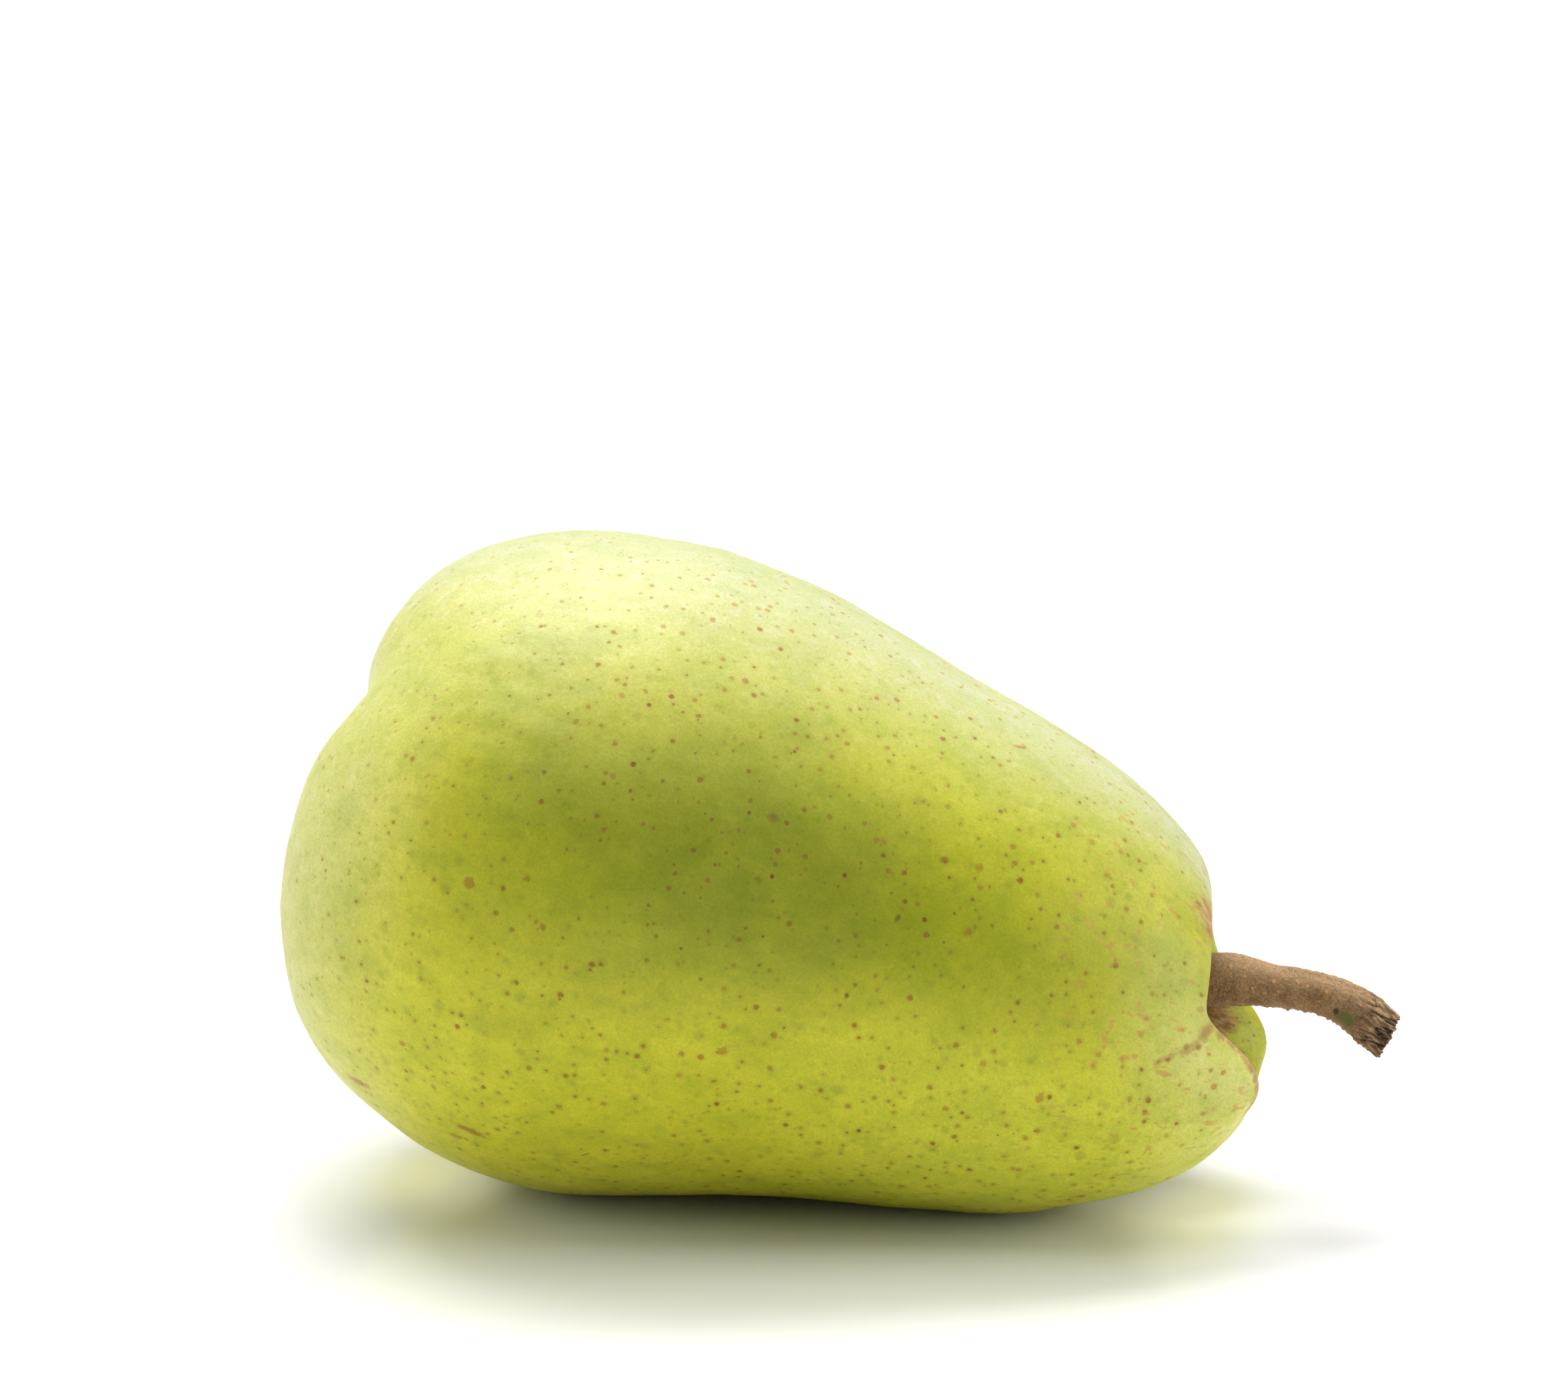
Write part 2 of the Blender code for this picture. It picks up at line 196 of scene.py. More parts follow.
# (name, place, size, watts)
SOFTBOXES = (
    ("softbox_top", (-0.12, 0.0, 0.95), (1.0, 0.6), 7.0),
    ("softbox_back", (-0.2, 0.36, 0.9), (0.9, 0.45), 11.5),
    ("softbox_left", (-1.0, -0.3, 0.38), (0.8, 0.8), 5.6),
    ("softbox_right", (1.0, -0.05, 0.32), (0.8, 0.7), 8.2),
)


# ================================================================ numbers

def smooth(value, low, high):
    """Ease from 0 at low to 1 at high."""
    t = np.clip((value - low) / (high - low), 0.0, 1.0)
    return t * t * (3.0 - 2.0 * t)


def bell(angle, centre, spread):
    """Bell curve round the turning direction, all in degrees."""
    away = (angle - centre + 180.0) % 360.0 - 180.0
    return np.exp(-((away / spread) ** 2))


def bump(value, centre, spread):
    """Bell curve along a straight scale."""
    return np.exp(-(((value - centre) / spread) ** 2))


def unit(vectors):
    """The same vectors, 1 long."""
    return vectors / np.linalg.norm(vectors, axis=-1, keepdims=True)


def spline(points, steps):
    """Catmull-Rom points through a row of points."""
    row = np.array(points, float)
    row = np.vstack([2.0 * row[0] - row[1], row, 2.0 * row[-1] - row[-2]])
    t = (np.arange(steps) / steps)[:, None]
    out = []
    for a, b, c, d in zip(row, row[1:], row[2:], row[3:]):
        bent = (2.0 * a - 5.0 * b + 4.0 * c - d) * t ** 2 + (3.0 * (b - c) + d - a) * t ** 3
        out.append(0.5 * (2.0 * b + (c - a) * t + bent))
    out.append(row[-2:-1])
    return np.vstack(out)


def evenly(points, count):
    """(count points spaced evenly along a row of points, their distance along it)."""
    gaps = np.linalg.norm(np.diff(points[:, :3], axis=0), axis=1)
    run = np.concatenate([[0.0], np.cumsum(gaps)])
    at = np.linspace(0.0, run[-1], count)
    return np.stack([np.interp(at, run, column) for column in points.T], 1), at


def noise_field(points, size, seed, octaves=2):
    """Smooth noise of about -1 to 1 over an array of points, with bumps of that size."""
    shift = Vector((seed * 17.3, seed * 5.1, seed * 9.7))
    return np.array([noise.fractal(Vector(p) / size + shift, 1.0, 2.0, octaves) for p in points.tolist()])


def srgb(red, green, blue):
    """A linear colour, with alpha, from screen values of 0 to 255."""
    def linear(value):
        value /= 255.0
        return value / 12.92 if value <= 0.04045 else ((value + 0.055) / 1.055) ** 2.4
    return (linear(red), linear(green), linear(blue), 1.0)


# ================================================================ meshes

def add_attributes(mesh, **fields):
    """A number or a vector for each point of a mesh, under each name, for its material to read."""
    for name, values in fields.items():
        values = np.asarray(values, np.float32)
        if values.ndim == 1:
            mesh.attributes.new(name, "FLOAT", "POINT").data.foreach_set("value", values)
        else:
            mesh.attributes.new(name, "FLOAT_VECTOR", "POINT").data.foreach_set("vector", values.ravel())


def ring_faces(rings, columns, first_pole, last_pole):
    """Faces of a tube of rings stored one after another, with a pole at each end."""
    turn = np.arange(columns)
    after = (turn + 1) % columns
    start = (np.arange(rings - 1) * columns)[:, None]
    quads = np.stack([start + turn, start + after, start + columns + after, start + columns + turn], -1)
    faces = quads.reshape(-1, 4).tolist()
    last = (rings - 1) * columns
    faces += [(first_pole, int(b), int(a)) for a, b in zip(turn, after)]
    faces += [(last_pole, int(last + a), int(last + b)) for a, b in zip(turn, after)]
    return faces


def mesh_from_rings(name, rings, first, last):
    """A closed mesh through an array of rings (rings, columns, 3) and its two poles, in metres."""
    count, columns = rings.shape[:2]
    points = np.vstack([rings.reshape(-1, 3), first, last])
    poles = len(points) - 2, len(points) - 1
    mesh = bpy.data.meshes.new(name)
    mesh.from_pydata(points.tolist(), [], ring_faces(count, columns, *poles))
    outwards(mesh)
    return mesh


def outwards(mesh):
    """Turns every face outwards and shades the mesh smooth."""
    bm = bmesh.new()
    bm.from_mesh(mesh)
    bmesh.ops.recalc_face_normals(bm, faces=bm.faces)
    bm.to_mesh(mesh)
    bm.free()
    mesh.shade_smooth()


def normals(mesh):
    """Outward normals of a mesh's points."""
    values = np.empty(len(mesh.vertices) * 3)
    mesh.vertex_normals.foreach_get("vector", values)
    return values.reshape(-1, 3)


def move_points(mesh, points):
    """Puts a mesh's points in new places."""
    mesh.vertices.foreach_set("co", np.asarray(points, np.float32).ravel())
    mesh.update()


def add_piece(name, mesh, material, slot, *nodes):
    """A piece of the pear that stands for CAD nodes and rides with the fruit."""
    obj = bpy.data.objects.new(name, mesh)
    bpy.context.scene.collection.objects.link(obj)
    obj.data.materials.append(material)
    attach(obj, "root")
    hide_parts(*nodes)
    return obj


# ================================================================ fruit

SPINE_CURVE = spline(SPINE, 8)


def spine_lift(height):
    """Lift of the fruit's middle line towards the upper flank."""
    return np.interp(height, SPINE_CURVE[:, 0], SPINE_CURVE[:, 1])


def shape_points(radius, angle, height):
    """Points of the fruit, upright, from the turned radius, direction and height."""
    end = smooth(height, *STEM_END)
    start = 1.0 - smooth(height, *CALYX_END)
    rim = smooth(radius, *RIM_REACH)
    reach = sum(h * bell(angle, c, s) for c, h, s in STEM_LOBES)
    fold = STEM_FOLD[1] * bell(angle, STEM_FOLD[0], STEM_FOLD[2])
    reach -= fold * (1.0 - smooth(radius, *FOLD_REACH))
    drop = sum(h * bell(angle, c, s) for c, h, s in CALYX_LOBES)
    drop -= CALYX_FOLD[1] * bell(angle, CALYX_FOLD[0], CALYX_FOLD[2])
    lift = spine_lift(height) + CAVITY_LIFT * end * (1.0 - smooth(radius, *CAVITY_REACH))
    turn = np.radians(angle)
    x = -radius * np.sin(turn) - lift
    y = -radius * np.cos(turn)
    return np.stack([x, y, height + rim * (end * reach - start * drop)], -1)


def laying_matrix(points):
    """Lays upright points (millimetres) down so that belly and neck touch the CAD model's floor."""
    tilt = 0.2
    for _ in range(20):     # each round brings the lowest points of belly and neck closer to level
        along = points[:, 2] * math.cos(tilt) - points[:, 0] * math.sin(tilt)
        up = -points[:, 0] * math.cos(tilt) - points[:, 2] * math.sin(tilt)
        belly = np.where(points[:, 2] <= WAIST, up, np.inf).argmin()
        neck = np.where(points[:, 2] > WAIST, up, np.inf).argmin()
        tilt += math.atan2(up[neck] - up[belly], along[neck] - along[belly])
    turn = Matrix.Rotation(math.radians(90.0) + tilt, 4, "Y") @ Matrix.Scale(MM, 4)
    low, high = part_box("pear_body")
    laid = transformed(points, turn)
    shift = Vector((low.x - laid[:, 0].min(), low.y - laid[:, 1].min(), high.z - laid[:, 2].max()))
    return Matrix.Translation(shift) @ turn


def transformed(points, matrix):
    """An array of points moved by a matrix."""
    m = np.array(matrix)
    return points @ m[:3, :3].T + m[:3, 3]


def fruit_grid():
    """Radius, direction and height for every point of the fruit's grid."""
    outline, _ = evenly(spline(OUTLINE, 40), FRUIT_ROWS + 2)
    turn = np.arange(FRUIT_COLUMNS) * 360.0 / FRUIT_COLUMNS
    radius, angle = np.meshgrid(outline[1:-1, 0], turn, indexing="ij")
    height = np.broadcast_to(outline[1:-1, 1:2], radius.shape)
    poles = np.array([[0.0, 0.0, outline[0, 1]], [0.0, 0.0, outline[-1, 1]]])
    flat = np.stack([radius, angle, height], -1).reshape(-1, 3)
    return np.vstack([flat, poles]).T


def relief(points, angle, height):
    """Height of the skin's undulations, millimetres."""
    out = sum(high * noise_field(points, size, seed) for seed, (size, high) in enumerate(RELIEF, 1))
    stretched = points * np.array([1.0, 1.0, 0.45])
    wrinkled = bell(angle, 40.0, 45.0) * bump(height, 17.0, 12.0)
    size, high = WRINKLES
    return out + high * wrinkled * noise_field(stretched, size, 4)


def russet(radius, angle, height):
    """Where the skin is brown and corky, 0 to 1: in the stem cavity, on the folds round it, in the eye."""
    top = smooth(height, 70.0, 78.0)
    cavity = 0.7 * (1.0 - smooth(radius, 4.5, 10.5))
    fold = bell(angle, 268.0, 32.0) * (1.0 - smooth(radius, 8.0, 14.5))
    edge = np.interp(angle, (330.0, 348.0), (11.8, 8.6))
    crease = 0.8 * smooth(angle, 318.0, 332.0) * (1.0 - smooth(angle, 345.0, 352.0))
    crease *= 1.0 - smooth(radius, edge + 0.6, edge + 2.6)
    lip = 0.75 * bell(angle, 351.0, 13.0) * (1.0 - smooth(radius, 9.2, 11.8))
    upper = 0.82 * bell(angle, 56.0, 16.0) * (1.0 - smooth(radius, 11.0, 18.0))
    eye = 0.8 * (1.0 - smooth(height, 10.0, 16.0)) * (1.0 - smooth(radius, 4.0, 8.0))
    wall = 0.85 * bell(angle, 215.0, 28.0) * (1.0 - smooth(radius, 6.2, 9.0))
    patches = np.maximum.reduce([cavity, fold, crease, lip, upper, wall])
    return np.clip(top * patches + eye, 0.0, 1.0)


def stained(radius, angle, height):
    """Painted shade, 0 to 1: how dark the skin is painted, deep beside the stem, on the far lobe's inner
    wall and in the fold.
    """
    cavity = 0.8 * (1.0 - smooth(radius, 3.5, 10.0))
    fold = bell(angle, 262.0, 26.0) * (1.0 - smooth(radius, 9.0, 16.0))
    wall = 0.8 * bell(angle, 215.0, 28.0) * (1.0 - smooth(radius, 5.4, 8.4))
    return smooth(height, 74.0, 80.0) * np.maximum.reduce([cavity, fold, wall])


def dot_field(points, radius, height):
    """Coordinates for the skin's dots: true ones, but drawn out towards the stem on the cap."""
    pull = DOT_PULL * smooth(height, 70.0, 80.0) * np.maximum(DOT_PULL_FROM - radius, 0.0)
    grow = 1.0 + pull / np.maximum(radius, 1.0)
    return points * np.stack([grow, grow, np.ones_like(grow)], -1)


def skin_areas(angle, height):
    """How much painted shade (greener and darker), painted light on the lower neck and painted highlight and
    sheen the skin gets; how streaked on the cap, and how finely dotted.
    """
    # painted shade: a band along the near flank and the far flank are made greener and darker
    flank = bell(angle, 18.0, 22.0) * bump(height, 43.0, 38.0) * smooth(height, 8.0, 25.0)
    far = bell(angle, 195.0, 55.0) * smooth(height, 5.0, 25.0)
    # painted light: the lower near side of the neck is made brighter and more yellowish
    neck = smooth(height, 45.0, 70.0) * (1.0 - 0.7 * smooth(height, 80.0, 86.0))
    # painted highlight and sheen, as paler, greyer skin: the blossom-end shoulder, the near lobe by the
    # stem, the upper flank and the back
    shoulder = 0.75 * (1.0 - smooth(height, -4.0, 20.0))
    lobe = 0.42 * bell(angle, 340.0, 45.0) * smooth(height, 76.0, 87.0)
    top = bell(angle, 89.0, np.interp(height, (35.0, 60.0), (36.0, 27.0)))
    back = 0.45 * bell(angle, 175.0, 50.0) * (1.0 - smooth(height, 55.0, 74.0))
    fine = 1.0 - smooth(height, 6.0, 34.0) + 0.7 * bell(angle, 290.0, 38.0)
    return {
        # green: painted shade on the near and far flanks, with less of it on the lower near side as painted
        # light
        "green": 0.95 * flank + 0.5 * far - 0.5 * bell(angle, 325.0, 40.0),
        "painted_neck_light": bell(angle, 325.0, 30.0) * neck,
        "painted_highlight": np.maximum.reduce([top, shoulder, lobe, back]),
        "cap": smooth(height, 68.0, 80.0),
        "fine": np.clip(fine, 0.0, 1.0),
    }


def build_fruit(material):
    """The fruit with its skin's relief; gives the matrix that lays it down."""
    radius, angle, height = fruit_grid()
    upright = shape_points(radius, angle, height)
    lay = laying_matrix(upright)
    rings = transformed(upright, lay)
    mesh = mesh_from_rings(
        "pear_fruit", rings[:-2].reshape(FRUIT_ROWS, FRUIT_COLUMNS, 3), rings[-2], rings[-1])
    mesh.update()
    bumps = relief(upright, angle, height)
    placed = rings + normals(mesh) * bumps[:, None] * MM
    soft = FLOOR_SOFTNESS * MM
    placed[:, 2] = 0.5 * (placed[:, 2] + np.sqrt(placed[:, 2] ** 2 + soft ** 2))
    move_points(mesh, placed)
    add_attributes(
        mesh, upright=upright, dots=dot_field(upright, radius, height), russet=russet(radius, angle, height),
        stained=stained(radius, angle, height), **skin_areas(angle, height))
    add_piece("pear_fruit", mesh, material, "skin", "pear_body")
    return lay


# ================================================================ stem

def stem_ends(turn):
    """Length of the stem at each direction round it: slanted and ragged."""
    around = np.radians(turn)
    circle = np.stack([np.cos(around), np.sin(around), 0.0 * around], 1)
    slant = math.tan(math.radians(BREAK_SLANT)) * STEM_PATH[-1][3] * np.cos(around)
    return STEM_LENGTH - BREAK_SHORT - slant + BREAK_RAGGED * noise_field(circle, 0.2, 5, 3)


def stem_relief(at, angle, old, bark):
    """(height of the bark's hump, ridges and cracks, how deep in a crack, how flaky) over the stem."""
    flat = bark.reshape(-1, 3)
    lumps = noise_field(flat, 2.4, 8, 2).reshape(at.shape)
    grain = noise_field(flat, 0.5, 7, 3).reshape(at.shape)
    twist = np.radians(angle + 7.0 * at)
    along = np.stack([np.cos(twist) * STEM_RADIUS, np.sin(twist) * STEM_RADIUS, 0.2 * at], -1)
    streaks = noise_field(along.reshape(-1, 3), 0.75, 6, 3).reshape(at.shape)
    crack = old * (1.0 - smooth(np.abs(streaks), 0.0, 0.2))

    hump = 0.42 * bump(at, 12.6, 2.4) * bell(angle, 0.0, 55.0)
    dent = 0.16 * bump(at, 16.4, 1.4) * bell(angle, 0.0, 50.0)
    ridge = (0.2 + 0.1 * grain) * smooth(at, 15.5, 18.0) * bell(angle, 10.0, 13.0)
    flaky = smooth(at, 14.0, 17.0) * bell(angle, 172.0, 14.0)
    lip = flaky * (0.12 + 0.22 * np.maximum(grain, 0.0))
    end = 0.3 * smooth(old, 0.75, 1.0)
    height = hump - dent + ridge + lip - end + old * (0.22 + 0.12 * lumps + 0.08 * streaks)
    return height + 0.03 * grain + 0.05 * lumps - 0.24 * crack, crack, flaky


def lenticels(at, angle):
    """How far the bark's lenticels stand out at each point, 0 to 1."""
    out = np.zeros_like(at)
    for place, direction, size in LENTICELS:
        spot = bump(at, place, size) * bell(angle, direction, np.degrees(size / STEM_RADIUS))
        out = np.maximum(out, spot)
    return out


def spokes(ahead, around):
    """Directions square to the stem's path, which turn from its top over the near side."""
    side = np.array([0.0, -1.0, 0.0])
    up = unit(np.cross(ahead, side))
    up *= -np.sign(up[..., :1])
    return np.cos(around)[..., None] * up + np.sin(around)[..., None] * side


def broken_face(rim, middle, ahead):
    """Rings of the rough, hollowed break, from its rim towards the middle."""
    rings = []
    for k in range(1, BREAK_ROWS):
        share = k / BREAK_ROWS
        ring = rim + (middle - rim) * share
        rough = 0.42 * noise_field(ring, 0.55, 9, 4) * (1.0 - 0.4 * share)
        hollow = BREAK_SUNK * math.sin(0.5 * math.pi * min(share * 2.0, 1.0))
        rings.append(ring + ahead * (rough - hollow)[:, None])
    return np.array(rings)


def build_stem(lay, material):
    """The stem along its bent path, from inside the stem cavity to its broken end."""
    path, run = evenly(spline(STEM_PATH, 24), 600)

    def centre(at):
        lift, side, height = (np.interp(at, run, path[:, k]) for k in range(3))
        return np.stack([-lift, side, height], -1)

    turn = np.linspace(0.0, 360.0, STEM_COLUMNS, endpoint=False)
    ends = stem_ends(turn)
    at = np.linspace(0.0, 1.0, STEM_ROWS)[:, None] * ends
    angle = np.broadcast_to(turn, at.shape)
    around = np.radians(angle)
    bark = np.stack([np.cos(around) * STEM_RADIUS, np.sin(around) * STEM_RADIUS, at], -1)
    old = 1.0 - smooth(ends - at, 0.8, 5.5)
    height, crack, flaky = stem_relief(at, angle, old, bark)
    lenticel = lenticels(at, angle)

    ahead = unit(centre(at + 0.2) - centre(at - 0.2))
    radius = np.interp(at, run, path[:, 3]) + height + 0.07 * lenticel
    wall = centre(at) + radius[..., None] * spokes(ahead, around)
    middle = centre(np.array(STEM_LENGTH))
    forward = ahead[-1].mean(0)
    face = broken_face(wall[-1], middle, forward)
    rings = transformed(np.concatenate([wall, face]).reshape(-1, 3), lay)
    poles = transformed(np.stack([centre(np.array(0.0)), middle - BREAK_SUNK * forward]), lay)
    mesh = mesh_from_rings("pear_stem", rings.reshape(-1, STEM_COLUMNS, 3), poles[:1], poles[1:])

    def whole(values, on_break):
        """Values of the wall, then one value for the break, then both poles."""
        broken = np.full(face.shape[0] * STEM_COLUMNS, on_break)
        return np.concatenate([values.ravel(), broken, [0.0, on_break]])

    green = bump(at, STEM_LENGTH - 5.2, 1.0) * bell(angle, 116.0, 24.0)
    scar = bump(at, STEM_LENGTH - 6.4, 0.35) * bell(angle, 108.0, 12.0)
    poles_bark = np.array([[0.0, 0.0, 0.0], [0.0, 0.0, STEM_LENGTH]])
    # the bell round the stem's top marks where light is painted on the bark
    add_attributes(
        mesh, age=whole(old, 1.0), crack=whole(crack, 0.0), cut=whole(smooth(at, ends - 0.12, ends), 1.0),
        green=whole(green, 0.0), scar=whole(scar, 0.0), flaky=whole(flaky, 0.0),
        lenticel=whole(lenticel, 0.0), topside=whole(bell(angle, 15.0, 55.0), 0.0),
        bark=np.concatenate([bark.reshape(-1, 3), face.reshape(-1, 3), poles_bark]))
    add_piece("pear_stem", mesh, material, "bark", "stem")


# ================================================================ dried flower

def sepal_points(length, foot_lean, tip_lean, seed):
    """A cupped, pointed leaf that grows from the origin towards -Z and curls outwards along +Y."""
    last = SEPAL_ROWS - 1
    lean = np.radians(foot_lean + (tip_lean - foot_lean) * (np.arange(last) + 0.5) / last)
    step = length / last
    out = np.concatenate([[0.0], np.cumsum(step * np.sin(lean))])
    down = np.concatenate([[0.0], np.cumsum(step * np.cos(lean))])
    t = np.linspace(0.0, 1.0, SEPAL_ROWS)[:, None]
    across = np.linspace(-1.0, 1.0, SEPAL_COLUMNS)[None, :]
    half = 0.5 * SEPAL_WIDTH * (1.0 + 0.5 * t) * (1.0 - 0.95 * smooth(t, 0.1, 1.0))
    cup = 0.4 * across ** 2 * (1.0 - t) + 0.12 * (1.0 - np.abs(across)) * (1.0 - t)
    grid = np.stack([across * half, out[:, None] - cup, np.broadcast_to(-down[:, None], cup.shape)], -1)
    crinkle = noise_field(grid.reshape(-1, 3), 1.1, seed, 3).reshape(cup.shape)
    grid[..., 1] += 0.16 * crinkle
    grid[..., 0] += 0.1 * crinkle * t
    return grid


def build_sepals(lay, material):
    """Five leaves in a ring round the eye, made thick by a Solidify modifier."""
    columns = SEPAL_COLUMNS
    lift = float(spine_lift(SEPAL_FOOT))
    faces = [(r * columns + c, r * columns + c + 1, (r + 1) * columns + c + 1, (r + 1) * columns + c)
             for r in range(SEPAL_ROWS - 1) for c in range(columns - 1)]
    for index, (length, foot_lean, tip_lean) in enumerate(SEPALS):
        turn = math.radians(FIRST_SEPAL + index * 360.0 / len(SEPALS))
        foot = (-SEPAL_RING * math.sin(turn) - lift, SEPAL_RING * math.cos(turn), SEPAL_FOOT)
        place = lay @ Matrix.Translation(foot) @ Matrix.Rotation(turn, 4, "Z")
        grid = sepal_points(length, foot_lean, tip_lean, 20 + index)
        name = f"pear_sepal_{index + 1}"
        mesh = bpy.data.meshes.new(name)
        mesh.from_pydata(transformed(grid.reshape(-1, 3), place).tolist(), [], faces)
        mesh.shade_smooth()
        add_attributes(mesh, along=np.repeat(np.linspace(0.0, 1.0, SEPAL_ROWS), columns))
        piece = add_piece(name, mesh, material, "dried_flower", f"sepal_{index + 1}")
        solid = piece.modifiers.new("thickness", "SOLIDIFY")
        solid.thickness = SEPAL_THICKNESS * MM
        solid.offset = 0.0


def tube_rings(path, radii, sides):
    """Rings of a thin tube along a path."""
    ahead = unit(np.gradient(path, axis=0))
    side = unit(np.cross(ahead, [0.3, 1.0, 0.2]))
    up = np.cross(side, ahead)
    turn = np.linspace(0.0, 2.0 * math.pi, sides, endpoint=False)
    spread = np.cos(turn)[None, :, None] * side[:, None] + np.sin(turn)[None, :, None] * up[:, None]
    return path[:, None] + spread * radii[:, None, None]


def build_stamens(lay, material):
    """Dried stamens: bent threads with swollen ends, standing on a round pad in the eye."""
    rng = np.random.default_rng(7)
    points, faces, along = [], [], []

    def add_rings(rings, first, last, share):
        start = sum(len(p) for p in points)
        count, columns = rings.shape[:2]
        poles = count * columns, count * columns + 1
        points.append(np.vstack([rings.reshape(-1, 3), first, last]))
        along.append(np.concatenate([np.repeat(share, columns), [share[0], share[-1]]]))
        faces.extend(tuple(start + i for i in face) for face in ring_faces(count, columns, *poles))

    middle = np.array([-float(spine_lift(PAD_TOP)), 0.0, PAD_TOP])
    turn = np.linspace(0.0, 2.0 * math.pi, 24, endpoint=False)
    pad = np.array([[(r * math.cos(a), r * math.sin(a), z) for a in turn] for r, z in PAD_RINGS]) + middle
    add_rings(pad, middle, middle + [0.0, 0.0, -0.5], np.zeros(len(PAD_RINGS)))

    radii = np.array(STAMEN_RADII)
    t = np.linspace(0.0, 1.0, len(radii))[:, None]
    for index in range(STAMENS):
        angle = index * STAMEN_STEP + rng.uniform(-0.3, 0.3)
        foot = rng.uniform(0.35, 0.95)
        out = np.array([math.cos(angle), math.sin(angle), 0.0])
        bend = np.array([-out[1], out[0], 0.0]) * rng.uniform(-0.7, 0.7)
        length = rng.uniform(1.7, 3.0)
        path = middle + out * (foot + 0.9 * t ** 1.5 * rng.uniform(0.4, 1.2)) + bend * t ** 2
        path[:, 2] -= 0.5 + length * t[:, 0]
        add_rings(tube_rings(path, radii, 8), path[0], path[-1], t[:, 0])

    mesh = bpy.data.meshes.new("pear_stamens")
    mesh.from_pydata(transformed(np.vstack(points), lay).tolist(), [], faces)
    outwards(mesh)
    add_attributes(mesh, along=np.concatenate(along))
    add_piece("pear_stamens", mesh, material, "dried_flower", "stamens")


# ================================================================ materials

class Tree:
    """Short calls for wiring a material's nodes."""

    def __init__(self, name):
        self.material = bpy.data.materials.new(name)
        self.material.use_nodes = True
        self.nodes = self.material.node_tree.nodes
        self.links = self.material.node_tree.links
        self.shader = self.nodes["Principled BSDF"]

    def put(self, value, socket):
        """Links an output to a socket, or sets the socket to a number or colour."""
        if isinstance(value, bpy.types.NodeSocket):
            self.links.new(value, socket)
        else:
            socket.default_value = value

    def attribute(self, name, output="Fac"):
        node = self.nodes.new("ShaderNodeAttribute")
        node.attribute_name = name
        return node.outputs[output]

    def math(self, operation, first, second=0.0, third=0.0, clamp=False):
        node = self.nodes.new("ShaderNodeMath")
        node.operation = operation
        node.use_clamp = clamp
        for value, socket in zip((first, second, third), node.inputs):
            self.put(value, socket)
        return node.outputs[0]

    def ramp(self, value, low, high, to_low=0.0, to_high=1.0):
        """Eases from one number to another as the value goes from low to high."""
        node = self.nodes.new("ShaderNodeMapRange")
        node.interpolation_type = "SMOOTHSTEP"
        for entry, socket in zip((value, low, high, to_low, to_high), node.inputs):
            self.put(entry, socket)
        return node.outputs[0]

    def mix(self, factor, first, second, blend="MIX"):
        """Mixes two colours."""
        node = self.nodes.new("ShaderNodeMix")
        node.data_type = "RGBA"
        node.blend_type = blend
        first_colour, second_colour, mixed = node.inputs[6], node.inputs[7], node.outputs[2]
        self.put(factor, node.inputs["Factor"])
        self.put(first, first_colour)
        self.put(second, second_colour)
        return mixed

    def noise(self, vector, size, detail=2.0, roughness=0.5):
        """Noise of 0 to 1 with bumps of that size, in the vector's own units."""
        node = self.nodes.new("ShaderNodeTexNoise")
        self.put(vector, node.inputs["Vector"])
        node.inputs["Scale"].default_value = 1.0 / size
        node.inputs["Detail"].default_value = detail
        node.inputs["Roughness"].default_value = roughness
        return node.outputs["Fac"]

    def scaled(self, vector, scale, shift=(0.0, 0.0, 0.0)):
        """A vector scaled and then moved, to stretch a texture or to show another stretch of it."""
        node = self.nodes.new("ShaderNodeMapping")
        self.put(vector, node.inputs["Vector"])
        node.inputs["Scale"].default_value = scale
        node.inputs["Location"].default_value = shift
        return node.outputs[0]

    def cells(self, vector, size):
        """(distance to the nearest of scattered points in cells of that size, two random numbers of it)."""
        node = self.nodes.new("ShaderNodeTexVoronoi")
        self.put(vector, node.inputs["Vector"])
        node.inputs["Scale"].default_value = 1.0 / size
        split = self.nodes.new("ShaderNodeSeparateColor")
        self.links.new(node.outputs["Color"], split.inputs[0])
        return self.math("MULTIPLY", node.outputs["Distance"], size), split.outputs[0], split.outputs[1]

    def within(self, vector, centre, turn, size):
        """Distance from the middle of an ellipsoid, 1 on its surface."""
        node = self.nodes.new("ShaderNodeMapping")
        node.vector_type = "TEXTURE"
        self.put(vector, node.inputs["Vector"])
        node.inputs["Location"].default_value = centre
        node.inputs["Rotation"].default_value = turn
        node.inputs["Scale"].default_value = size
        length = self.nodes.new("ShaderNodeVectorMath")
        length.operation = "LENGTH"
        self.put(node.outputs[0], length.inputs[0])
        return length.outputs["Value"]

    def bump(self, height, distance, strength):
        """A normal that shows a height as relief; 1 of height stands for that distance, in metres."""
        node = self.nodes.new("ShaderNodeBump")
        node.inputs["Strength"].default_value = strength
        node.inputs["Distance"].default_value = distance
        self.put(height, node.inputs["Height"])
        return node.outputs[0]

    def constants(self, values):
        """Sets the shader's own sockets, by name, where a value is the same all over."""
        for name, value in values.items():
            self.shader.inputs[name].default_value = value


